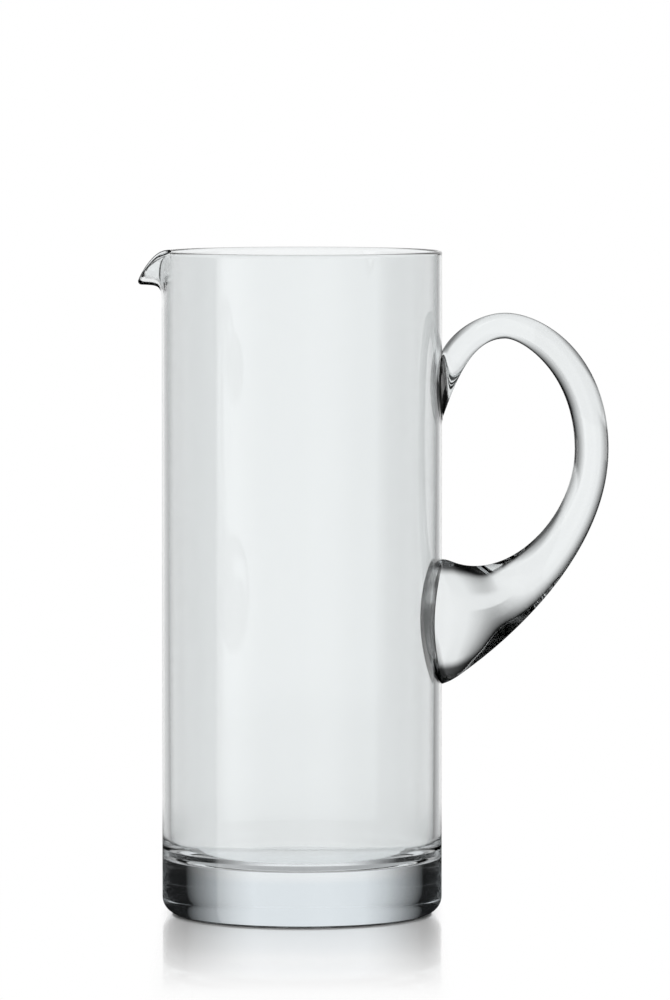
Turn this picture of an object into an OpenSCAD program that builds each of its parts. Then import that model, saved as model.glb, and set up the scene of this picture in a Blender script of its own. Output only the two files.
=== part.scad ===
// Clear glass water jug: a blown cylindrical wall on a heavy base,
// with a pulled pouring lip on -X and an applied loop handle on +X.
// Millimetres, +Z up, origin on the body axis at the surface that the jug stands on.

/* [Body] */
// Outside diameter of the body
body_d = 100; // [80:1:130]
// Height from the table to the top of the rim
body_h = 237; // [200:1:300]
// Glass thickness at the rim
rim_wall = 1.6; // [1.2:0.1:2.6]
// Glass thickness where the wall meets the base
foot_wall = 3; // [2:0.1:5]

/* [Base] */
// Glass thickness under the inside floor
base_t = 19; // [10:0.5:30]
// Radius of the rounded heel outside
heel_r = 6; // [3:0.5:8]
// Radius of the rounded corner inside
floor_r = 9; // [4:0.5:14]
// Depth of the shallow hollow under the base
punt_depth = 1.2; // [0.6:0.1:2.5]
// Width of the ring that the jug stands on
stand_w = 8; // [4:0.5:14]

/* [Pouring lip] */
// Opening of the lip around the rim, in degrees
lip_angle = 34; // [24:1:50]
// Height of the wall that is drawn into the lip
lip_h = 20; // [18:0.5:30]
// How far the tip stands out from the wall
lip_reach = 8.5; // [5:0.5:14]
// How far the middle of the tip lies below the rim
lip_drop = 10.7; // [6:0.1:12]
// Glass thickness at the tip
lip_wall = 2.6; // [1.8:0.1:4]

/* [Handle] */
// How far the handle stands out from the wall
handle_reach = 59.8; // [45:0.2:80]
// Height of the crown's upper side above the middle of the upper seal
crown_rise = 26; // [20:0.2:32]
// Distance of the crown from the wall
crown_out = 22.6; // [16:0.2:30]
// Depth of the outermost point below the middle of the upper seal
grip_drop = 23; // [15:0.5:36]
// Thickness of the rod at the crown
crown_t = 9.2; // [7:0.2:14]
// Thickness of the rod at the grip
grip_t = 12.2; // [9:0.2:18]
// Width of the rod at the crown
crown_w = 12; // [9:0.5:18]
// Width of the rod at the grip
grip_w = 14.5; // [10:0.5:22]

/* [Handle seals] */
// Depth of the middle of the upper seal below the rim
tail_drop = 48.2; // [44:0.2:60]
// Height of the upper seal
tail_h = 25; // [18:1:32]
// Width of the upper seal
tail_w = 21; // [14:1:24]
// Distance between the middles of the two seals
seal_gap = 84.5; // [75:0.5:100]
// Height of the lower seal
root_h = 47; // [36:1:56]
// Width of the lower seal
root_w = 41; // [28:1:48]

/* [Hidden] */
$fn = 96;
glass = [0.86, 0.91, 0.92, 0.45];
// How far a cut runs past what it cuts
cut_margin = 10;

body_r = body_d / 2;
rim_round = rim_wall / 2;
wall_top = body_h - rim_round;
seam_z = base_t + floor_r;
stand_r = body_r - heel_r;
punt_r = stand_r - stand_w;
punt_sphere_r = (punt_r * punt_r + punt_depth * punt_depth) / (2 * punt_depth);

// Facets of the lip: sectors round the rim, rows up the wall and steps round the edge
lip_sectors = 24;
lip_rows = 16;
rim_steps = 6;
lip_foot = body_h - lip_h;
lip_rise = wall_top - lip_foot;
lip_tip = [lip_reach - lip_wall / 2, lip_rise + rim_round - lip_drop];
// Shares of the tip's height where the lip leaves the wall's line, and of its reach and height
// where it has turned to the tip's direction
lip_turn = 0.985;
lip_run = [0.06, 0.97];
// How quickly the outward pull and the fall of the rim die away from the lip's middle
lip_pull_power = 2;
lip_fall_power = 1.75;

// Facets of the handle: sides of a section and sections to each of its three stretches
handle_sides = 28;
handle_steps = 16;
// How far the handle's ends run into the wall before they are trimmed to it
handle_sink = 2;
tail_z = body_h - tail_drop;
root_z = tail_z - seal_gap;
grip_z = tail_z - grip_drop;
crown_z = tail_z + crown_rise;
grip_x = body_r + handle_reach;
crown_x = body_r + crown_out;
// Share of the first stretch where the seal's edge is rounded, and how much it draws in there
seal_edge = 0.06;
seal_tuck = 0.05;
// Share of the first stretch over which its sections lose the wall's curve
root_drape = 0.4;
// How soon the rod narrows above the lower seal, and how late it flares at the upper one
root_neck = 0.32;
tail_flare = 18;
tail_drape = 12;

// Glass thickness of the straight wall at height z, thinning evenly towards the rim
function wall_at(z) = foot_wall + (rim_wall - foot_wall) * (z - seam_z) / (wall_top - seam_z);

// Point and direction on a cubic curve with control points p
function bezier(p, t) = let (s = 1 - t)
    s * s * s * p[0] + 3 * s * s * t * p[1] + 3 * s * t * t * p[2] + t * t * t * p[3];
function bezier_slope(p, t) = let (s = 1 - t)
    3 * s * s * (p[1] - p[0]) + 6 * s * t * (p[2] - p[1]) + 3 * t * t * (p[3] - p[2]);

// Blown wall
module wall_profile() {
    polygon([
        [body_r - foot_wall, seam_z],
        [body_r, seam_z],
        [body_r, wall_top],
        [body_r - rim_wall, wall_top]
    ]);
    translate([body_r - rim_round, wall_top]) circle(r = rim_round);
}

module lip_window() {
    rotate([0, 0, 180 - lip_angle / 2])
        rotate_extrude(angle = lip_angle)
            translate([body_r - foot_wall - cut_margin, lip_foot])
                square([foot_wall + 2 * cut_margin, lip_h + cut_margin]);
}

module body_wall() {
    color(glass) difference() {
        rotate_extrude() wall_profile();
        lip_window();
    }
}

// Heavy base with its rounded heel, rounded inside corner and hollow underside
module base_profile() {
    difference() {
        union() {
            square([body_r - heel_r, seam_z]);
            translate([0, heel_r]) square([body_r, seam_z - heel_r]);
            translate([body_r - heel_r, heel_r]) circle(r = heel_r);
        }
        translate([0, base_t]) square([body_r - foot_wall - floor_r, floor_r + cut_margin]);
        translate([0, seam_z]) square([body_r - foot_wall, cut_margin]);
        translate([body_r - foot_wall - floor_r, seam_z]) circle(r = floor_r);
    }
}

module heavy_base() {
    color(glass) difference() {
        rotate_extrude() base_profile();
        translate([0, 0, punt_depth - punt_sphere_r]) sphere(r = punt_sphere_r);
    }
}

// Pouring lip: the wall's own section, bent outwards and down most at the middle.
// The bend is a curve in shares of the tip's reach and height
lip_bend = [[0, 0], [0, lip_turn], lip_run, [1, 1]];

// Share of the outward pull at an angle from the lip's middle, from 1 there to 0 at its sides
function lip_pull(a) = pow(1 - pow(2 * a / lip_angle, 2), lip_pull_power);
function lip_fall(pull) = pow(pull, lip_fall_power);
// Thickness of the lip's edge
function lip_edge(pull) = rim_wall + (lip_wall - rim_wall) * lip_fall(pull);
// Reach of the lip's edge, and height of its outside above the lip's foot: as far as the edge
// leans over, half its thickness lies above its outside
function lip_size(pull) = let (
        reach = pull * lip_tip[0],
        middle = lip_rise + (lip_tip[1] - lip_rise) * lip_fall(pull),
        end = bezier_slope(lip_bend, 1),
        lean = [end[0] * reach, end[1] * middle]
    ) [reach, middle - lip_edge(pull) / 2 * lean[0] / norm(lean)];
// Point of the outside of the lip, in radius and height, at a share t of the way up
function lip_outer(pull, t) = let (bend = bezier(lip_bend, t), size = lip_size(pull))
    [body_r + bend[0] * size[0], lip_foot + bend[1] * size[1]];
function lip_normal(pull, t) = let (
        slope = bezier_slope(lip_bend, t),
        size = lip_size(pull),
        run = [slope[0] * size[0], slope[1] * size[1]]
    ) [run[1], -run[0]] / norm(run);
function lip_thickness(pull, t) = let (plain = wall_at(lip_foot + lip_rise * bezier(lip_bend, t)[1]))
    plain + (lip_wall - plain) * lip_fall(pull) * t;

// One closed section of the lip in radius and height: up outside, round the edge, down inside
function lip_section(pull) = let (
        thick = lip_edge(pull),
        across = lip_normal(pull, 1),
        edge = lip_outer(pull, 1) - across * thick / 2,
        along = [-across[1], across[0]]
    ) concat(
        [for (i = [0:lip_rows]) lip_outer(pull, i / lip_rows)],
        [for (i = [1:rim_steps - 1]) let (a = 180 * i / rim_steps)
            edge + thick / 2 * (cos(a) * across + sin(a) * along)],
        [for (i = [lip_rows:-1:0]) let (t = i / lip_rows)
            lip_outer(pull, t) - lip_thickness(pull, t) * lip_normal(pull, t)]
    );

// Triangles of a skin over rings of equal length, with both ends closed by ladders across them
function skin_faces(rings, sides) = concat(
    [for (i = [0:rings - 2], j = [0:sides - 1]) let (k = (j + 1) % sides)
        [i * sides + j, i * sides + k, (i + 1) * sides + k]],
    [for (i = [0:rings - 2], j = [0:sides - 1]) let (k = (j + 1) % sides)
        [i * sides + j, (i + 1) * sides + k, (i + 1) * sides + j]],
    [for (f = ladder(sides)) [f[2], f[1], f[0]]],
    [for (f = ladder(sides)) (rings - 1) * sides * [1, 1, 1] + f]
);
function ladder(sides) = concat(
    [for (j = [0:ceil(sides / 2) - 2]) [j, j + 1, sides - 1 - j]],
    [for (j = [0:floor(sides / 2) - 2]) [j + 1, sides - 2 - j, sides - 1 - j]]
);

module pouring_lip() {
    sides = 2 * (lip_rows + 1) + rim_steps - 1;
    points = [for (i = [0:lip_sectors]) let (a = lip_angle * (i / lip_sectors - 0.5))
        for (p = lip_section(lip_pull(a))) [p[0] * cos(180 + a), p[0] * sin(180 + a), p[1]]];
    color(glass) polyhedron(points, skin_faces(lip_sectors + 1, sides));
}

// Handle: an outer and an inner side outline joined by oval sections.
// An outline has three stretches, root to grip, grip to crown and crown to tail. Side is -1 for
// the outer and 1 for the inner one, and each run is the share of a span, before and after
// that place, over which the outline runs straight on before it turns.
function outline(side, grip_at, crown_at, root_run, grip_run, crown_run, tail_run) = let (
        root_at = root_z + side * root_h / 2,
        tail_at = tail_z - side * tail_h / 2
    ) [
        [
            [body_r, root_at],
            [body_r + root_run[0] * (grip_at - body_r), root_at - side * root_run[1] * root_h],
            [grip_at, grip_z - grip_run[0] * (grip_z - root_z)],
            [grip_at, grip_z]
        ],
        [
            [grip_at, grip_z],
            [grip_at, grip_z + grip_run[1] * (crown_at - grip_z)],
            [crown_x + crown_run[0] * (grip_at - crown_x), crown_at],
            [crown_x, crown_at]
        ],
        [
            [crown_x, crown_at],
            [crown_x - crown_run[1] * crown_out, crown_at],
            [body_r + tail_run[0] * crown_out, tail_at + tail_run[1] * tail_h],
            [body_r, tail_at]
        ]
    ];
outer_line = outline(-1, grip_x, crown_z, [0.58, 0.48], [0.5, 0.7], [0.37, 0.4], [0.19, 0.3]);
inner_line = outline(
    1, grip_x - grip_t, crown_z - crown_t, [0.43, 0.28], [0.42, 0.69], [0.25, 0.45], [0.28, 0.76]
);

// Width of the rod along each of the three stretches
function handle_width(stretch, t) =
    stretch == 0 ? grip_w + (root_w - grip_w) * root_share(t) :
    stretch == 1 ? grip_w + (crown_w - grip_w) * t * t * (3 - 2 * t) :
    crown_w + (tail_w - crown_w) * pow(t, tail_flare);
function root_share(t) = pow(1 - t, 3) / (pow(1 - t, 3) + pow(t / root_neck, 2));
// Share of the wall's curve that a section follows, whole at the seals and none along the rod
function handle_drape(stretch, t) =
    stretch == 0 ? pow(max(0, 1 - t / root_drape), 2) :
    stretch == 1 ? 0 :
    pow(t, tail_drape);
// Drawing-in of the rounded edge at the lower seal
function handle_tuck(stretch, t) =
    stretch == 0 ? 1 - seal_tuck * pow(max(0, 1 - t / seal_edge), 2) : 1;

// One oval section between the two outlines, moved towards the axis by sink
function handle_section(stretch, t, sink) = let (
        low = bezier(outer_line[stretch], t),
        high = bezier(inner_line[stretch], t),
        half = (high - low) / 2 * handle_tuck(stretch, t),
        middle = (high + low) / 2,
        half_w = handle_width(stretch, t) / 2 * handle_tuck(stretch, t)
    ) [for (i = [0:handle_sides - 1]) let (
            a = 360 * (i + 0.5) / handle_sides,
            y = half_w * sin(a),
            p = middle + half * cos(a),
            curve = body_r - sqrt(body_r * body_r - y * y)
        ) [p[0] - curve * handle_drape(stretch, t) - sink, y, p[1]]];

handle_rings = concat(
    [handle_section(0, 0, handle_sink)],
    [for (i = [1:3]) handle_section(0, seal_edge * i / 3, 0)],
    [for (i = [1:handle_steps]) handle_section(0, seal_edge + (1 - seal_edge) * i / handle_steps, 0)],
    [for (i = [1:handle_steps]) handle_section(1, i / handle_steps, 0)],
    [for (i = [1:handle_steps - 1]) handle_section(2, i / handle_steps, 0)],
    [handle_section(2, 1, handle_sink)]
);

module handle() {
    color(glass) difference() {
        polyhedron(
            [for (ring = handle_rings) for (p = ring) p],
            skin_faces(len(handle_rings), handle_sides)
        );
        cylinder(r = body_r, h = body_h);
    }
}

body_wall();
heavy_base();
pouring_lip();
handle();
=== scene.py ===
"""Clear glass water jug: blown wall, heavy base, pulled pouring lip and applied loop handle."""
import math

import bpy
import numpy as np
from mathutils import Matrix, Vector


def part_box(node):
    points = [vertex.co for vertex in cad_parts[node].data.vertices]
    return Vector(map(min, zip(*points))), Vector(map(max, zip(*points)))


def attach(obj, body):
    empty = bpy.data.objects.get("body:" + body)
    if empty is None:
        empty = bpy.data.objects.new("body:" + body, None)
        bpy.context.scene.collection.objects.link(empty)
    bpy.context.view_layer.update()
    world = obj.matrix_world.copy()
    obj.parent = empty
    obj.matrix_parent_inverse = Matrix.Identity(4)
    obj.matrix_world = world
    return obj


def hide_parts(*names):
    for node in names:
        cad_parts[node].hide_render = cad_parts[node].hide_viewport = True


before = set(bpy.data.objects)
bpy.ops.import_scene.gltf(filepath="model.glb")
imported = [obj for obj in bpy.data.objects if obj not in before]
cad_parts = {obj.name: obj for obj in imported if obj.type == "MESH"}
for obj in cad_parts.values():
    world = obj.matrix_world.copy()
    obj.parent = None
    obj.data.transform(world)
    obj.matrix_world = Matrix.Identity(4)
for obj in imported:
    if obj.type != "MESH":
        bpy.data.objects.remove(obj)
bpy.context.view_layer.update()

MM = 0.001

# Wall and base in metres, from the frame where it holds them
BODY_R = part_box("body_wall")[1].x
BODY_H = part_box("body_wall")[1].z
SEAM_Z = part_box("heavy_base")[1].z
RIM_WALL = 1.6 * MM
FOOT_WALL = 3 * MM
FLOOR_R = 9 * MM
HEEL_R = 6 * MM
HEEL_STEP = 0.2 * MM
STAND_W = 8 * MM
PUNT_DEPTH = 1.2 * MM
WALL_TOP = BODY_H - RIM_WALL / 2
CORNER_R = BODY_R - FOOT_WALL - FLOOR_R

# Pouring lip: its sizes, then the shares that bend its section
LIP_ANGLE = math.radians(34)
LIP_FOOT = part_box("pouring_lip")[0].z
LIP_RISE = WALL_TOP - LIP_FOOT
LIP_REACH = 8.49 * MM
LIP_DROP = 10.7 * MM
LIP_WALL = 2.6 * MM
LIP_TURN = 0.985
LIP_RUN = 0.06
LIP_LEVEL = 0.97
LIP_FALL = 1.75

# Handle: the tail is its small upper seal and the root its large lower one
TAIL_Z = BODY_H - 48.2 * MM
TAIL_H = 25 * MM
TAIL_W = 21 * MM
TAIL_GAP = 0.15 * MM
TAIL_FLARE = 18
TAIL_DRAPE = 12
ROOT_Z = TAIL_Z - 84.5 * MM
ROOT_H = 47 * MM
ROOT_W = 41 * MM
ROOT_NECK = 0.32
ROOT_DRAPE = 0.4
GRIP_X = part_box("handle")[1].x
GRIP_Z = TAIL_Z - 23 * MM
GRIP_T = 12.2 * MM
GRIP_W = 14.5 * MM
CROWN_X = BODY_R + 22.6 * MM
CROWN_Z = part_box("handle")[1].z
CROWN_T = 9.2 * MM
CROWN_W = 12 * MM
SEAL_EDGE = 0.06
SEAL_TUCK = 0.05
# Runs of the handle's outlines, as shares of the spans at the root, the grip, the crown and the tail
OUTER_RUNS = ((0.58, 0.48), (0.5, 0.7), (0.37, 0.4), (0.19, 0.3))
INNER_RUNS = ((0.43, 0.28), (0.42, 0.69), (0.25, 0.45), (0.28, 0.76))

# Steps of the meshes, and the turn between two faces that shows as an edge
LIP_COLUMNS = 48
ROUND_COLUMNS = 288
LIP_ROWS = 24
WALL_ROWS = 11
RIM_STEPS = 10
PUNT_STEPS = 13
HEEL_STEPS = 18
SIDE_STEPS = 6
BOWL_STEPS = 40
FLOOR_STEPS = 6
SEAL_STEPS = 8
ROD_STEPS = 59
ROD_SIDES = 96
CAP_STEPS = 6
SHARP_TURN = math.radians(50)

# Columns round the body: the lip's own first, then the rest, so that the pieces share their edges
THETA = np.concatenate([
    np.linspace(math.pi - LIP_ANGLE / 2, math.pi + LIP_ANGLE / 2, LIP_COLUMNS + 1),
    np.linspace(math.pi + LIP_ANGLE / 2, 3 * math.pi - LIP_ANGLE / 2, ROUND_COLUMNS + 1)[1:-1],
])


def bezier(points, t):
    """Cubic curve: the four points weighted by the cubic Bernstein shares of t."""
    p = np.asarray(points, float)
    t = np.asarray(t, float)[:, None]
    s = 1 - t
    return s**3 * p[0] + 3 * s * s * t * p[1] + 3 * s * t * t * p[2] + t**3 * p[3]


def bezier_slope(points, t):
    """Direction of the cubic curve: the differences of its points by the quadratic shares of t."""
    p = np.asarray(points, float)
    t = np.asarray(t, float)[:, None]
    s = 1 - t
    return 3 * s * s * (p[1] - p[0]) + 6 * s * t * (p[2] - p[1]) + 3 * t * t * (p[3] - p[2])


def arc(centre, radius, start, end, steps):
    """Points at even angles from start to end, in degrees, round a centre."""
    a = np.radians(np.linspace(start, end, steps + 1))
    return np.stack([centre[0] + radius * np.cos(a), centre[1] + radius * np.sin(a)], -1)


def wall_at(z):
    """Thickness of the straight wall, thinning evenly from its foot to the rim."""
    return FOOT_WALL + (RIM_WALL - FOOT_WALL) * (z - SEAM_Z) / (WALL_TOP - SEAM_Z)


def turn(profile):
    """Surface of revolution: each radius and height of the profile carried round all columns."""
    r, z = profile[:, :1], profile[:, 1:]
    return np.stack([r * np.cos(THETA), r * np.sin(THETA), z + 0 * THETA], -1)


def quads(rows, columns, wrap_rows=False, wrap_columns=False):
    """Corner numbers of the quads on a grid, with its rows or columns closed into rings."""
    i = np.arange(rows if wrap_rows else rows - 1)[:, None]
    j = np.arange(columns if wrap_columns else columns - 1)[None, :]
    up, across = (i + 1) % rows, (j + 1) % columns
    corners = [i * columns + j, i * columns + across, up * columns + across, up * columns + j]
    return np.stack(np.broadcast_arrays(*corners), -1)


def ladder(loop):
    """Quads across a closed loop of point numbers, between its two halves."""
    half = len(loop) // 2
    left, right = loop[:half], loop[::-1][:half]
    return np.stack([left[:-1], left[1:], right[1:], right[:-1]], -1)


def fan(ring, pole):
    """Triangles from a ring of point numbers to one pole."""
    return np.stack([ring, np.roll(ring, -1), np.full(len(ring), pole)], -1)


def make_piece(name, points, skins):
    """Mesh object whose faces are given as pairs of a material and the faces that it covers."""
    faces, used = [], []
    mesh = bpy.data.meshes.new(name)
    for k, (material, grids) in enumerate(skins):
        mesh.materials.append(material)
        for grid in grids:
            faces += grid.reshape(-1, grid.shape[-1]).tolist()
        used += [k] * (len(faces) - len(used))
    mesh.from_pydata(points.reshape(-1, 3).tolist(), [], faces)
    mesh.polygons.foreach_set("material_index", used)
    mesh.polygons.foreach_set("use_smooth", [True] * len(mesh.polygons))
    mesh.set_sharp_from_angle(angle=SHARP_TURN)
    mesh.update()
    piece = bpy.data.objects.new(name, mesh)
    bpy.context.collection.objects.link(piece)
    return piece


def body_wall_piece(glass, seam):
    """Blown wall: a profile up outside, round the rim and down inside, turned round the axis,
    with the lip's window left out of it."""
    low_rows = np.linspace(SEAM_Z, LIP_FOOT, WALL_ROWS + 1)[:-1]
    high_rows = np.linspace(LIP_FOOT, WALL_TOP, LIP_ROWS + 1)
    z = np.concatenate([low_rows, high_rows])
    outside = np.stack([np.full_like(z, BODY_R), z], -1)
    inside = np.stack([BODY_R - wall_at(z), z], -1)[::-1]
    rim = arc((BODY_R - RIM_WALL / 2, WALL_TOP), RIM_WALL / 2, 0, 180, RIM_STEPS)[1:-1]
    profile = np.concatenate([outside, rim, inside])
    points = turn(profile)
    rows, columns = points.shape[:2]
    first = len(low_rows)
    last = rows - 1 - first
    number = np.arange(rows * columns).reshape(rows, columns)
    grid = quads(rows, columns, wrap_rows=True, wrap_columns=True)
    keep = np.ones(grid.shape[:2], bool)
    keep[first:last, :LIP_COLUMNS] = False
    keep[-1] = False
    window = number[[first, last]][:, :LIP_COLUMNS + 1]
    sill = np.stack([window[0, :-1], window[0, 1:], window[1, 1:], window[1, :-1]], -1)
    left = ladder(number[first:last + 1, 0])
    right = ladder(number[first:last + 1, LIP_COLUMNS])[:, ::-1]
    skins = [(glass, [grid[keep]]), (seam, [grid[-1], sill, left, right])]
    return make_piece("body_wall_glass", points, skins)


def heavy_base_piece(glass, seam):
    """Heavy base: a profile from the hollow underside out over the standing ring and heel, up
    outside, across the seam, down the rounded inside corner and in over the floor."""
    stand_r = BODY_R - HEEL_R
    punt_r = stand_r - STAND_W
    base_t = SEAM_Z - FLOOR_R
    share = np.linspace(0, 1, PUNT_STEPS + 1)[1:]
    underside = np.stack([punt_r * share, PUNT_DEPTH * (1 - share**2)], -1)
    heel = arc((stand_r, HEEL_R), HEEL_R, -90, 0, HEEL_STEPS)
    side_z = np.concatenate([[HEEL_R + HEEL_STEP], np.linspace(HEEL_R, SEAM_Z, SIDE_STEPS + 1)[1:]])
    side = np.stack([np.full_like(side_z, BODY_R), side_z], -1)
    bowl = arc((CORNER_R, SEAM_Z), FLOOR_R, 0, -90, BOWL_STEPS)
    floor_r = CORNER_R * np.arange(FLOOR_STEPS - 1, 0, -1) / FLOOR_STEPS
    floor = np.stack([floor_r, np.full_like(floor_r, base_t)], -1)
    profile = np.concatenate([underside, heel, side, bowl, floor])
    ring_points = turn(profile)
    rows, columns = ring_points.shape[:2]
    points = np.concatenate([ring_points.reshape(-1, 3), [[0, 0, PUNT_DEPTH], [0, 0, base_t]]])
    under, over = rows * columns, rows * columns + 1
    number = np.arange(rows * columns).reshape(rows, columns)
    grid = quads(rows, columns, wrap_columns=True)
    seam_row = len(underside) + len(heel) + len(side) - 1
    clear = np.delete(grid, seam_row, axis=0)
    poles = [fan(number[0][::-1], under), fan(number[-1], over)]
    skins = [(glass, [clear] + poles), (seam, [grid[seam_row]])]
    return make_piece("heavy_base_glass", points, skins)


def pouring_lip_piece(glass, seam):
    """Pouring lip: the wall's section at each column, bent along a cubic curve outwards and down,
    by a pull that is 1 at the middle and dies away to 0 at both sides."""
    angle = THETA[:LIP_COLUMNS + 1] - math.pi
    pull = np.clip(1 - (2 * angle / LIP_ANGLE)**2, 0, None)**2
    fall = pull**LIP_FALL
    tip = (LIP_REACH - LIP_WALL / 2, LIP_RISE + RIM_WALL / 2 - LIP_DROP)
    bend = [(0, 0), (0, LIP_TURN), (LIP_RUN, LIP_LEVEL), (1, 1)]
    t = np.linspace(0, 1, LIP_ROWS + 1)
    curve, slope = bezier(bend, t), bezier_slope(bend, t)
    reach = tip[0] * pull
    middle = LIP_RISE + (tip[1] - LIP_RISE) * fall
    lean = slope[-1, 0] * reach / np.hypot(slope[-1, 0] * reach, slope[-1, 1] * middle)
    rise = middle - (RIM_WALL + (LIP_WALL - RIM_WALL) * fall) / 2 * lean
    outer = np.stack([BODY_R + curve[:, :1] * reach, LIP_FOOT + curve[:, 1:] * rise], -1)
    across = np.stack([slope[:, 1:] * rise, -slope[:, :1] * reach], -1)
    across /= np.linalg.norm(across, axis=-1, keepdims=True)
    plain = wall_at(LIP_FOOT + LIP_RISE * curve[:, 1:])
    thick = (plain + (LIP_WALL - plain) * fall * t[:, None])[..., None]
    inner = (outer - thick * across)[::-1]
    edge = outer[-1] - across[-1] * thick[-1] / 2
    along = np.stack([-across[-1, :, 1], across[-1, :, 0]], -1)
    a = np.linspace(0, math.pi, RIM_STEPS + 1)[1:-1, None, None]
    rim = edge + thick[-1] / 2 * (np.cos(a) * across[-1] + np.sin(a) * along)
    section = np.concatenate([outer, rim, inner])
    r, z = section[..., 0], section[..., 1]
    points = np.stack([r * np.cos(math.pi + angle), r * np.sin(math.pi + angle), z], -1)
    rows, columns = points.shape[:2]
    number = np.arange(rows * columns).reshape(rows, columns)
    grid = quads(rows, columns, wrap_rows=True)
    left, right = ladder(number[:, 0])[:, ::-1], ladder(number[:, -1])
    skins = [(glass, [grid[:-1]]), (seam, [grid[-1], left, right])]
    return make_piece("pouring_lip_glass", points, skins)


def handle_outline(side, grip_at, crown_at, runs):
    """Three cubic stretches of a side outline, root to grip, grip to crown and crown to tail.
    Side is -1 for the outer and 1 for the inner one."""
    root_run, grip_run, crown_run, tail_run = runs
    root_at = ROOT_Z + side * ROOT_H / 2
    tail_at = TAIL_Z - side * TAIL_H / 2
    crown_out = CROWN_X - BODY_R
    return [
        [
            (BODY_R, root_at),
            (BODY_R + root_run[0] * (grip_at - BODY_R), root_at - side * root_run[1] * ROOT_H),
            (grip_at, GRIP_Z - grip_run[0] * (GRIP_Z - ROOT_Z)),
            (grip_at, GRIP_Z),
        ],
        [
            (grip_at, GRIP_Z),
            (grip_at, GRIP_Z + grip_run[1] * (crown_at - GRIP_Z)),
            (CROWN_X + crown_run[0] * (grip_at - CROWN_X), crown_at),
            (CROWN_X, crown_at),
        ],
        [
            (CROWN_X, crown_at),
            (CROWN_X - crown_run[1] * crown_out, crown_at),
            (BODY_R + tail_run[0] * crown_out, tail_at + tail_run[1] * TAIL_H),
            (BODY_R, tail_at),
        ],
    ]


def seal_cap(ring, radius):
    """Face of a seal: the end ring drawn in to its middle over the wall's curve of that radius."""
    middle = ring.mean(0)
    share = np.linspace(1, 0, CAP_STEPS + 1)[1:-1, None, None]
    cap = np.concatenate([(middle + share * (ring - middle)).reshape(-1, 3), middle[None]])
    cap[:, 0] = np.sqrt(radius**2 - cap[:, 1]**2)
    return cap


def handle_piece(glass, root_seal, tail_seal):
    """Applied handle: oval sections between an outer and an inner outline, as wide as the rod is
    there, bent to the wall's curve where they meet it."""
    outer_line = handle_outline(-1, GRIP_X, CROWN_Z, OUTER_RUNS)
    inner_line = handle_outline(1, GRIP_X - GRIP_T, CROWN_Z - CROWN_T, INNER_RUNS)
    edge = SEAL_EDGE * np.linspace(0, 1, SEAL_STEPS + 1)[:-1]**2
    t_root = np.concatenate([edge, np.linspace(SEAL_EDGE, 1, ROD_STEPS + 1)])
    t_top = np.linspace(0, 1, ROD_STEPS + 1)[1:]
    t_tail = t_top
    stretches = [t_root, t_top, t_tail]
    outer = np.concatenate([bezier(p, t) for p, t in zip(outer_line, stretches)])
    inner = np.concatenate([bezier(p, t) for p, t in zip(inner_line, stretches)])
    width = np.concatenate([
        GRIP_W + (ROOT_W - GRIP_W) * (1 - t_root)**3 / ((1 - t_root)**3 + (t_root / ROOT_NECK)**2),
        GRIP_W + (CROWN_W - GRIP_W) * t_top**2 * (3 - 2 * t_top),
        CROWN_W + (TAIL_W - CROWN_W) * t_tail**TAIL_FLARE,
    ])
    drape = np.concatenate([
        np.clip(1 - t_root / ROOT_DRAPE, 0, None)**2, 0 * t_top, t_tail**TAIL_DRAPE])
    tuck = np.ones_like(width)
    tuck[:len(t_root)] -= SEAL_TUCK * np.clip(1 - t_root / SEAL_EDGE, 0, None)**2
    a = np.linspace(0, 2 * math.pi, ROD_SIDES, endpoint=False)
    half = ((inner - outer) / 2 * tuck[:, None])[:, None, :]
    middle = ((inner + outer) / 2)[:, None, :]
    y = (width * tuck / 2)[:, None] * np.sin(a)
    place = middle + half * np.cos(a)[None, :, None]
    x = place[..., 0] - (BODY_R - np.sqrt(BODY_R**2 - y**2)) * drape[:, None]
    rod = np.stack([x, y, place[..., 1]], -1)
    rings, sides = rod.shape[:2]
    rod[-1, :, 0] = np.sqrt((BODY_R + TAIL_GAP)**2 - rod[-1, :, 1]**2)
    root_cap, tail_cap = seal_cap(rod[0], BODY_R), seal_cap(rod[-1], BODY_R + TAIL_GAP)
    points = np.concatenate([p.reshape(-1, 3) for p in (rod, root_cap, tail_cap)])
    number = np.arange(rings * sides).reshape(rings, sides)
    skin = quads(rings, sides, wrap_columns=True)[..., ::-1]
    skins = [(glass, [skin])]
    start = rings * sides
    ends = [(number[0], root_cap, root_seal, 1), (number[-1], tail_cap, tail_seal, -1)]
    for ring, cap, seal, side in ends:
        levels = len(cap) // sides
        steps = np.concatenate([ring[None], start + np.arange(levels * sides).reshape(levels, sides)])
        grid = steps.reshape(-1)[quads(levels + 1, sides, wrap_columns=True)]
        tip = fan(steps[-1], start + levels * sides)
        skins.append((seal, [grid[..., ::side], tip[:, ::side]]))
        start += len(cap)
    return make_piece("handle_glass", points, skins)


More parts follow.
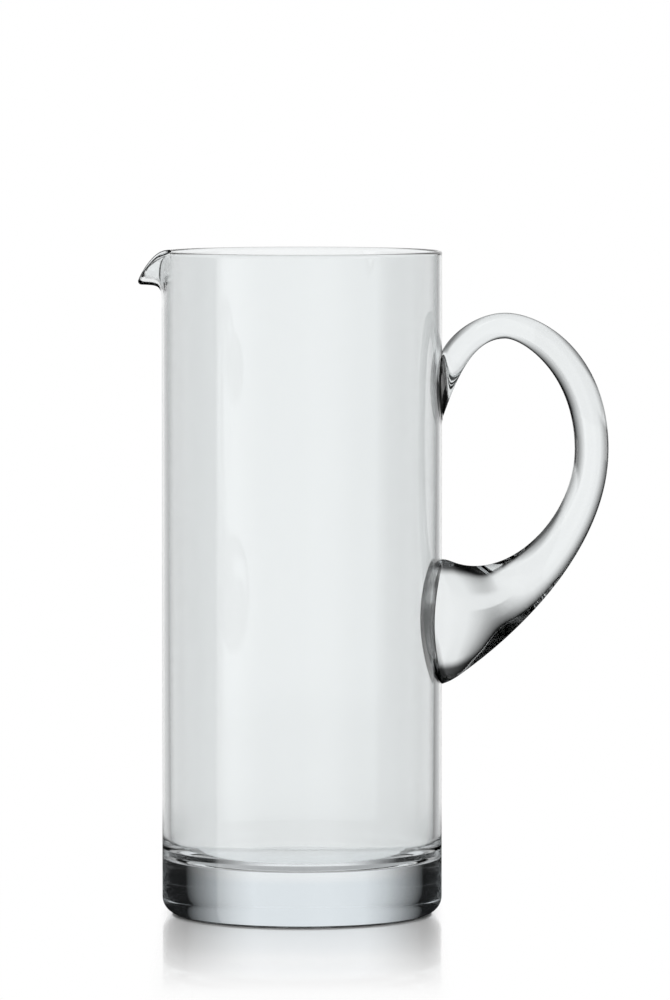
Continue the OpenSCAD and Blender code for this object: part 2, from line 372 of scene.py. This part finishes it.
class Field:
    """A shader socket's value, so that maths on it reads as a plain expression."""

    def __init__(self, tree, socket):
        self.tree = tree
        self.socket = socket

    def maths(self, operation, *values):
        node = self.tree.nodes.new("ShaderNodeMath")
        node.operation = operation
        for slot, value in zip(node.inputs, values):
            if isinstance(value, Field):
                self.tree.links.new(value.socket, slot)
            else:
                slot.default_value = value
        return Field(self.tree, node.outputs[0])

    def __add__(self, other):
        return self.maths("ADD", self, other)

    def __radd__(self, other):
        return self.maths("ADD", other, self)

    def __sub__(self, other):
        return self.maths("SUBTRACT", self, other)

    def __rsub__(self, other):
        return self.maths("SUBTRACT", other, self)

    def __mul__(self, other):
        return self.maths("MULTIPLY", self, other)

    def __rmul__(self, other):
        return self.maths("MULTIPLY", other, self)

    def __truediv__(self, other):
        return self.maths("DIVIDE", self, other)

    def __rtruediv__(self, other):
        return self.maths("DIVIDE", other, self)

    def __pow__(self, other):
        return self.maths("POWER", self, other)

    def __abs__(self):
        return self.maths("ABSOLUTE", self)

    def __lt__(self, other):
        return self.maths("LESS_THAN", self, other)

    def __gt__(self, other):
        return self.maths("GREATER_THAN", self, other)


class Shader:
    """A node tree with one way of adding a node: its type, its settings and its sockets."""

    def __init__(self, owner):
        owner.use_nodes = True
        self.tree = owner.node_tree
        self.tree.nodes.clear()

    def node(self, kind, settings=None, inputs=None):
        node = self.tree.nodes.new("ShaderNode" + kind)
        for key, value in (settings or {}).items():
            if key == "stops":
                self.set_stops(node.color_ramp, value)
            else:
                setattr(node, key, value)
        for key, value in (inputs or {}).items():
            socket = node.inputs[key]
            if isinstance(value, Field):
                self.tree.links.new(value.socket, socket)
            else:
                socket.default_value = value
        return node

    def out(self, node, name=0):
        return Field(self.tree, node.outputs[name])

    @staticmethod
    def set_stops(ramp, stops):
        while len(ramp.elements) > 1:
            ramp.elements.remove(ramp.elements[-1])
        for k, (place, level) in enumerate(stops):
            element = ramp.elements[0] if k == 0 else ramp.elements.new(place)
            element.position = place
            element.color = (level, level, level, 1)


def object_place(shader):
    """Object coordinates: the whole vector, then its x, y and z."""
    place = shader.out(shader.node("TexCoord"), "Object")
    parts = shader.node("SeparateXYZ", inputs={"Vector": place})
    return [place] + [shader.out(parts, axis) for axis in "XYZ"]


def smooth_step(shader, value, low, high):
    """0 at low, 1 at high and a smooth rise between."""
    step = shader.node("MapRange", {"interpolation_type": "SMOOTHSTEP"}, {
        "Value": value, "From Min": low, "From Max": high})
    return shader.out(step, "Result")


def drawn_noise(shader, place, height_scale, scale, detail):
    """Noise over a piece, drawn out along its height where the height's scale is below 1."""
    drawn = shader.node("Mapping", inputs={"Vector": place, "Scale": (1, 1, height_scale)})
    noise = shader.node("TexNoise", inputs={
        "Vector": shader.out(drawn, "Vector"), "Scale": scale, "Detail": detail})
    return shader.out(noise, "Fac")


WHITE = (1, 1, 1, 1)
# Colours of the glass, deepest in the thick base
GLASS_IOR = 1.5
WALL_TINT = (0.925, 0.942, 0.945, 1)
FOOT_TINT = (0.895, 0.912, 0.915, 1)
BASE_TINT = (0.74, 0.795, 0.83, 1)
HANDLE_TINT = (0.855, 0.88, 0.885, 1)
STREAK_TINT = 0.985
# Heights between which the glass deepens in colour, and the colour that it reaches
WALL_DEPTH = (28 * MM, 47 * MM, FOOT_TINT)
BASE_DEPTH = (15 * MM, 19 * MM, BASE_TINT)
# Finish of the blown glass, faintly softer than that of the drawn handle and the worked lip
BLOWN_ROUGH = 0.03
CLEAR_ROUGH = 0.0
# Strength of the soft waves in each surface, and their depth at full strength
WALL_WAVES = 0.006
LIP_WAVES = 0.02
THICK_WAVES = 0.004
WAVE_DEPTH = 1 * MM
# Noise as the height's scale, the scale and the detail; the third is for streaks in the painted shade at
# the seals
COLOUR_STREAKS = (0.35, 45.0, 3.0)
SURFACE_WAVES = (0.35, 28.0, 1.0)
SHADE_STREAKS = (0.2, 400.0, 2.0)
# Painted shade, near black, at the seals and round the foot: its colour and roughness, its shares at the
# lower and upper seal, and the depth of its streaks
PAINTED_SHADE = (0.012, 0.013, 0.012, 1)
PAINTED_SHADE_ROUGH = 0.6
ROOT_SHADE = 0.75
TAIL_SHADE = 0.85
SHADE_STREAK_DEPTH = 0.5
# Places across each seal where its painted shade begins and where it is densest
ROOT_SHADED = (3 * MM, 9 * MM)
TAIL_SHADED = (1 * MM, -2 * MM)
# Ovals on the wall as the middle, height and width; the third holds the painted shade round the upper
# seal
ROOT_OVAL = (ROOT_Z, ROOT_H * (1 - SEAL_TUCK), ROOT_W * (1 - SEAL_TUCK))
TAIL_OVAL = (TAIL_Z, TAIL_H, TAIL_W)
TAIL_SHADE_OVAL = (TAIL_Z, TAIL_H + 3 * MM, TAIL_W + 6 * MM)
SEAL_MARGIN = 0.4 * MM
# Span of the oval's square distance over which a seal's edge turns to painted shade
SEAL_SHADE_EDGE = (0.8, 0.9)
# Heights between which a painted shade line round the foot turns dark
FOOT_SHADE_EDGE = (0.7 * MM, 0.4 * MM)


def oval(y, z, middle, height, width):
    """Square of the distance from an oval's middle, 1 at its edge."""
    return (y / (width / 2))**2 + ((z - middle) / (height / 2))**2


def seal_mask(x, y, z, seal):
    """1 inside the oval of a seal on the outside of the wall, 0 elsewhere."""
    outside = (x * x + y * y) > (BODY_R - SEAL_MARGIN)**2
    return (oval(y, z, *seal) < 1) * outside * (x > 0)


def base_normal(shader, x, y, z, normal):
    """Direction of the base's faces for the light: straight out or in at the round of the heel,
    straight up inside the underside, and straight in at the rounded corner on the water's side, so
    that the turns of the glass stay as clear as its flat sides."""
    radius = (x * x + y * y)**0.5
    behind = shader.out(shader.node("NewGeometry"), "Backfacing")
    ahead = 1 - behind
    past_floor = (radius > CORNER_R) * (radius < BODY_R - FOOT_WALL / 2) * (z > HEEL_R)
    at_heel = (radius > BODY_R - HEEL_R) * (z < HEEL_R)
    at_turn = past_floor * ahead + at_heel
    under = (radius < BODY_R - HEEL_R) * (z < HEEL_R) * behind
    outward = 2 * at_heel * ahead - 1
    across = shader.node("CombineXYZ", inputs={
        "X": outward * x / radius, "Y": outward * y / radius, "Z": 0.0})
    turned = shader.node("Mix", {"data_type": "VECTOR"}, {
        "Factor": at_turn, "A": normal, "B": shader.out(across)})
    footed = shader.node("Mix", {"data_type": "VECTOR"}, {
        "Factor": under, "A": shader.out(turned, "Result"), "B": (0, 0, 1)})
    return shader.out(footed, "Result")


def paint_shade(shader, plain, share):
    """Surface with a share of painted shade in it."""
    dark = shader.node("BsdfPrincipled", inputs={
        "Base Color": PAINTED_SHADE, "Roughness": PAINTED_SHADE_ROUGH, "Specular IOR Level": 0.0})
    return shader.node("MixShader", inputs={0: share, 1: shader.out(plain), 2: shader.out(dark)})


def glass_material(name, tint, waviness, roughness=CLEAR_ROUGH, depth=None, seals=False, foot=False):
    """Clear fire-polished glass: faint streaks in its colour, and the soft waves of its making.
    Depth deepens the colour downwards. Seals opens the wall's skin inside the fused lower seal and
    paints shade on the wall round the upper one. Foot clears the turns of the base and paints a dark line
    of shade low round it."""
    material = bpy.data.materials.new(name)
    shader = Shader(material)
    place, x, y, z = object_place(shader)
    streaked = tuple(STREAK_TINT * c for c in tint[:3]) + (1,)
    mixed = shader.node("Mix", {"data_type": "RGBA"}, {
        "Factor": drawn_noise(shader, place, *COLOUR_STREAKS), "A": tint, "B": streaked})
    colour = shader.out(mixed, "Result")
    if depth:
        low, high, deep_tint = depth
        deeper = shader.node("Mix", {"data_type": "RGBA"}, {
            "Factor": smooth_step(shader, z, high, low), "A": colour, "B": deep_tint})
        colour = shader.out(deeper, "Result")
    bump = shader.node("Bump", inputs={
        "Strength": waviness, "Distance": WAVE_DEPTH,
        "Height": drawn_noise(shader, place, *SURFACE_WAVES)})
    inputs = {
        "Base Color": colour,
        "Roughness": roughness,
        "IOR": GLASS_IOR,
        "Transmission Weight": 1.0,
        "Normal": shader.out(bump, "Normal"),
    }
    if foot:
        inputs["Normal"] = base_normal(shader, x, y, z, inputs["Normal"])
    if seals:
        inputs["Alpha"] = 1 - seal_mask(x, y, z, ROOT_OVAL)
    surface = shader.node("BsdfPrincipled", inputs=inputs)
    if seals:
        # Painted shade on the wall's skin round the upper seal
        upper_seal_shade = seal_mask(x, y, z, TAIL_SHADE_OVAL) * smooth_step(shader, y, *TAIL_SHADED)
        surface = paint_shade(shader, surface, TAIL_SHADE * upper_seal_shade)
    if foot:
        # Painted shade: a dark line low round the outside of the heel, where it meets the table
        ahead = 1 - shader.out(shader.node("NewGeometry"), "Backfacing")
        heel = ahead * ((x * x + y * y) > (BODY_R - HEEL_R)**2)
        surface = paint_shade(shader, surface, heel * smooth_step(shader, z, *FOOT_SHADE_EDGE))
    shader.node("OutputMaterial", inputs={"Surface": shader.out(surface)})
    return material


def seam_material():
    """Fused seam inside the glass, where light passes straight through."""
    material = bpy.data.materials.new("fused_seam")
    shader = Shader(material)
    surface = shader.node("BsdfPrincipled", inputs={
        "Base Color": WALL_TINT, "Roughness": CLEAR_ROUGH, "IOR": GLASS_IOR, "Alpha": 0.0})
    shader.node("OutputMaterial", inputs={"Surface": shader.out(surface)})
    return material


def seal_material(name, fused, shade_share, shade_places, shade_oval):
    """Face of a seal, fused or clear, with streaks of painted shade: none at the first of the shade
    places across the seal and as dense as the shade share at the second. The shade oval's edge is painted
    dark as shade too."""
    material = bpy.data.materials.new(name)
    shader = Shader(material)
    place, _, y, z = object_place(shader)
    # Painted shade: streaks across the seal, and a dark edge round its oval
    shade_streak = shade_share + SHADE_STREAK_DEPTH * (drawn_noise(shader, place, *SHADE_STREAKS) - 0.5)
    rim = smooth_step(shader, oval(y, z, *shade_oval), *SEAL_SHADE_EDGE)
    share = y.maths("MAXIMUM", rim, shade_streak * smooth_step(shader, y, *shade_places))
    if fused:
        plain = shader.node("BsdfTransparent")
    else:
        plain = shader.node("BsdfPrincipled", inputs={
            "Base Color": HANDLE_TINT, "Roughness": CLEAR_ROUGH, "IOR": GLASS_IOR,
            "Transmission Weight": 1.0})
    surface = paint_shade(shader, plain, share)
    shader.node("OutputMaterial", inputs={"Surface": shader.out(surface)})
    return material


seam = seam_material()
root_seal = seal_material("lower_seal", True, ROOT_SHADE, ROOT_SHADED, ROOT_OVAL)
tail_seal = seal_material("upper_seal", False, TAIL_SHADE, TAIL_SHADED, TAIL_OVAL)
wall_glass = glass_material(
    "clear_wall_glass", WALL_TINT, WALL_WAVES, BLOWN_ROUGH, depth=WALL_DEPTH, seals=True)
base_glass = glass_material(
    "thick_base_glass", FOOT_TINT, THICK_WAVES, BLOWN_ROUGH, depth=BASE_DEPTH, foot=True)
lip_glass = glass_material("clear_lip_glass", WALL_TINT, LIP_WAVES)
handle_glass = glass_material("drawn_handle_glass", HANDLE_TINT, THICK_WAVES)

pieces = [
    (body_wall_piece(wall_glass, seam), "body_wall", "clear_glass"),
    (heavy_base_piece(base_glass, seam), "heavy_base", "base_glass"),
    (pouring_lip_piece(lip_glass, seam), "pouring_lip", "clear_glass"),
    (handle_piece(handle_glass, root_seal, tail_seal), "handle", "handle_glass"),
]
for piece, node, slot in pieces:
    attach(piece, "root")
    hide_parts(node)


def sines(*degrees):
    """Sines of angles from the horizon, as a direction's height gives them."""
    return [math.sin(math.radians(d)) for d in degrees]


# Turn of the camera round the jug, towards the lip
VIEW_TURN = math.radians(2.5)
# Studio levels by degrees from the middle of the bright panel behind the jug: beside the jug, above it,
# on the table and deep under the horizon
SIDE_LEVELS = [
    (0, 1.0), (16, 1.0), (24, 0.75), (29, 0.54), (35, 0.34), (45, 0.08), (47, 0.012), (104, 0.012),
    (110, 0.9), (180, 0.9),
]
DOME_LEVELS = [
    (0, 1.0), (16, 1.0), (24, 0.75), (29, 0.54), (35, 0.34), (45, 0.08), (47, 0.012), (180, 0.012),
]
TABLE_LEVELS = [(0, 1.0), (25, 1.0), (45, 0.5), (77, 0.5), (90, 0.95), (180, 0.95)]
DEEP_LEVELS = [(0, 1.0), (16, 1.0), (29, 0.54), (45, 0.15), (77, 0.15), (90, 0.8), (180, 0.8)]
PANEL_TALL = 0.3
# Lamps mirrored in the glass by degrees round the jug, left side first: tall ones, and low ones beside it
TALL_SHEEN = [
    (-180, 0.77), (-155, 0.77), (-145, 0.9), (-135, 1.35), (-124, 1.7), (-114, 1.5), (-107.5, 1.6),
    (-104.5, 0.0), (124, 0.0), (135, 0.17), (145, 0.55), (155, 1.0), (170, 1.0), (180, 0.77),
]
LOW_SHEEN = [
    (-180, 0.0), (-86, 0.0), (-79, 0.35), (-71, 0.8), (-62, 1.1), (-52, 1.3), (-39, 0.1), (-27, 0.1),
    (-18, 0.9), (18, 0.9), (27, 0.1), (39, 0.1), (52, 1.4), (62, 1.1), (71, 0.64), (79, 0.6),
    (89, 0.0), (180, 0.0),
]
# Angles from the horizon between which the low lamps end, the side levels give way to table and dome,
# and the front goes dark for light that has crossed few skins of glass
SHEEN_EDGE = sines(6.1, 6.5)
SIDE_EDGE = sines(7.5, 10.0)
FRONT_EDGE = sines(6.3, 6.6)
# Angles between which the table takes its deep levels and dims, and the dome dims
DEEP_EDGE = sines(18.0, 26.0)
UNDER_EDGE = sines(41.0, 60.0)
OVER_EDGE = sines(25.0, 40.0)
# Shares of a half turn from the panel between which the front begins
FRONT_FROM = (95 / 180, 105 / 180)
# Shares of the light that go from the deep table, the high dome and the front
UNDER_DARK = 0.9
OVER_DARK = 0.9
FRONT_DARK = 0.97
# Levels of the table seen through the blown glass, and of light turned back inside it
TABLE_WHITE = 0.95
TURNED_LIGHT = 0.5
# Counts of turns and of crossed skins that part one kind of light from another
NO_TURN = 0.5
FEW_SKINS = 3


def ramp_by_degrees(shader, levels, share):
    """Level read off a table of degrees and levels, at a share of the way from its first to its last."""
    low, high = levels[0][0], levels[-1][0]
    top = max(level for degrees, level in levels)
    stops = [((degrees - low) / (high - low), level / top) for degrees, level in levels]
    ramp = shader.node("ValToRGB", {"stops": stops}, {"Fac": share})
    return shader.out(ramp, "Color") * top


def passing_level(shader, rays, blown, dx, dy, dz):
    """Level of the light that comes through the glass: the side levels near the horizon, and past
    them the table below or the dome above. Light that the blown wall or base let straight through
    finds a white table, and light that they turned back inside has a level of its own."""
    aside = (dx * dx + (PANEL_TALL * dz)**2)**0.5
    off_panel = dy.maths("ARCTAN2", aside, dy) / math.pi
    off_below = dy.maths("ARCTAN2", abs(dx), dy) / math.pi
    from_front = smooth_step(shader, off_panel, *FRONT_FROM)
    turned = shader.out(rays, "Glossy Depth") > NO_TURN
    few_skins = shader.out(rays, "Transmission Depth") < FEW_SKINS
    table = ramp_by_degrees(shader, TABLE_LEVELS, off_below)
    deep = ramp_by_degrees(shader, DEEP_LEVELS, off_below)
    below = table + (deep - table) * smooth_step(shader, 0 - dz, *DEEP_EDGE)
    below = below * (1 - UNDER_DARK * smooth_step(shader, 0 - dz, *UNDER_EDGE))
    below = below + (TABLE_WHITE - below) * blown * (1 - turned)
    dome = ramp_by_degrees(shader, DOME_LEVELS, off_panel)
    above = dome * (1 - OVER_DARK * smooth_step(shader, dz, *OVER_EDGE))
    beyond = above + (below - above) * (dz < 0)
    beyond = beyond * (1 - FRONT_DARK * from_front * turned)
    beyond = beyond + (TURNED_LIGHT - beyond) * blown * turned * few_skins
    side = ramp_by_degrees(shader, SIDE_LEVELS, off_panel)
    side = side * (1 - from_front * few_skins * smooth_step(shader, abs(dz), *FRONT_EDGE))
    return side + (beyond - side) * smooth_step(shader, abs(dz), *SIDE_EDGE)


def sheen_level(shader, dx, dy, dz):
    """Level of the lamps that the glass mirrors: the tall ones, and the low ones near the horizon."""
    round_jug = (dx.maths("ARCTAN2", dx, dy) - VIEW_TURN) / (2 * math.pi) + 0.5
    near_level = 1 - smooth_step(shader, abs(dz), *SHEEN_EDGE)
    low = ramp_by_degrees(shader, LOW_SHEEN, round_jug)
    return ramp_by_degrees(shader, TALL_SHEEN, round_jug) + low * near_level


def studio_world():
    """White studio: its levels show through the glass and its lamps as mirror images on it. The camera,
    matt surfaces and the table's polish find plain white."""
    world = bpy.data.worlds.new("studio")
    shader = Shader(world)
    directions = shader.node("TexCoord")
    axes = shader.node("SeparateXYZ", inputs={"Vector": shader.out(directions, "Generated")})
    dx, dy, dz = (shader.out(axes, axis) for axis in "XYZ")
    rays = shader.node("LightPath")
    # Only the blown glass and the table's polish are rough, so only they spread the light
    spread = 1 - shader.out(rays, "Is Singular Ray")
    mirrored = shader.out(rays, "Is Reflection Ray")
    through = shader.node("Background", inputs={
        "Color": WHITE, "Strength": passing_level(shader, rays, spread, dx, dy, dz)})
    lamps = shader.node("Background", inputs={
        "Color": WHITE, "Strength": sheen_level(shader, dx, dy, dz)})
    white = shader.node("Background", inputs={"Color": WHITE})
    glass_view = shader.node("MixShader", inputs={
        0: mirrored, 1: shader.out(through), 2: shader.out(lamps)})
    polish = mirrored * spread * (dz > 0)
    plain = shader.out(rays, "Is Camera Ray") + shader.out(rays, "Is Diffuse Ray") + polish
    sky = shader.node("MixShader", inputs={
        0: plain, 1: shader.out(glass_view), 2: shader.out(white)})
    shader.node("OutputWorld", inputs={"Surface": shader.out(sky)})
    return world


bpy.context.scene.world = studio_world()

# White table
TABLE_HALF = 20.0
TABLE_Z = -0.1 * MM
TABLE_ROUGH = 0.03
# The jug's shadow grows between two distances from it, two places across the view and two along it
SHADOW_FADE = (350 * MM, 50 * MM)
SHADOW_SIDE = (51.5 * MM, 44 * MM)
SHADOW_BACK = (70 * MM, 0.0)
# The jug's image grows between two distances, up to a share of the table's light
IMAGE_FADE = (245 * MM, 65 * MM)
IMAGE_SHARE = 0.51


def table_material():
    """White polished table: bright, with the jug's soft shadow before it and its image near its foot.
    Light inside the glass passes it."""
    material = bpy.data.materials.new("white_table")
    shader = Shader(material)
    _, x, y, _ = object_place(shader)
    distance = (x * x + y * y)**0.5
    image = IMAGE_SHARE * smooth_step(shader, distance, *IMAGE_FADE)
    across = abs(x * math.cos(VIEW_TURN) - y * math.sin(VIEW_TURN))
    along = x * math.sin(VIEW_TURN) + y * math.cos(VIEW_TURN)
    shadow = smooth_step(shader, distance, *SHADOW_FADE)
    shadow = shadow * smooth_step(shader, across, *SHADOW_SIDE) * smooth_step(shader, along, *SHADOW_BACK)
    rays = shader.node("LightPath")
    glow = shader.node("Emission", inputs={"Color": WHITE, "Strength": 1.0})
    matt = shader.node("BsdfDiffuse", inputs={"Color": WHITE})
    mirror = shader.node("BsdfGlossy", inputs={"Color": WHITE, "Roughness": TABLE_ROUGH})
    lit = shader.node("MixShader", inputs={0: shadow, 1: shader.out(glow), 2: shader.out(matt)})
    polished = shader.node("MixShader", inputs={0: image, 1: shader.out(lit), 2: shader.out(mirror)})
    clear = shader.node("BsdfTransparent")
    surface = shader.node("MixShader", inputs={
        0: shader.out(rays, "Is Camera Ray"), 1: shader.out(clear), 2: shader.out(polished)})
    shader.node("OutputMaterial", inputs={"Surface": shader.out(surface)})
    return material


table_mesh = bpy.data.meshes.new("table")
table_corners = [(-1, -1), (1, -1), (1, 1), (-1, 1)]
table_mesh.from_pydata(
    [(x * TABLE_HALF, y * TABLE_HALF, TABLE_Z) for x, y in table_corners], [], [(0, 1, 2, 3)])
table_mesh.materials.append(table_material())
table = bpy.data.objects.new("table", table_mesh)
bpy.context.collection.objects.link(table)

# Camera of the photograph: a long lens a little above the jug, with the scale of the picture at its aim
SENSOR = 36.0
PIXELS_TALL = 1000
PIXELS_PER_METRE = 2800
CLIP_END = 100
VIEW_AXES = np.array([
    [math.cos(VIEW_TURN), -math.sin(VIEW_TURN), 0],
    [math.sin(VIEW_TURN), math.cos(VIEW_TURN), 0],
    [0, 0, 1],
])
CAMERA_AT = np.array([0.012, -2.54, 0.313]) @ VIEW_AXES
CAMERA_AIM = np.array([0.0118, 0.0, 0.148]) @ VIEW_AXES
look = CAMERA_AIM - CAMERA_AT
camera_data = bpy.data.cameras.new("camera")
camera_data.sensor_width = SENSOR
camera_data.lens = SENSOR * PIXELS_PER_METRE * np.linalg.norm(look) / PIXELS_TALL
camera_data.clip_end = CLIP_END
camera = bpy.data.objects.new("camera", camera_data)
bpy.context.collection.objects.link(camera)
camera.location = CAMERA_AT
tilt = math.atan2(np.hypot(look[0], look[1]), -look[2])
camera.rotation_euler = (tilt, 0, math.atan2(-look[0], look[1]))
bpy.context.scene.camera = camera
bpy.context.scene.view_settings.view_transform = "Standard"

# Light is followed through all the turns that it takes in thick glass
paths = bpy.context.scene.cycles
paths.max_bounces = 32
paths.glossy_bounces = 24
paths.transmission_bounces = 32
paths.transparent_max_bounces = 24
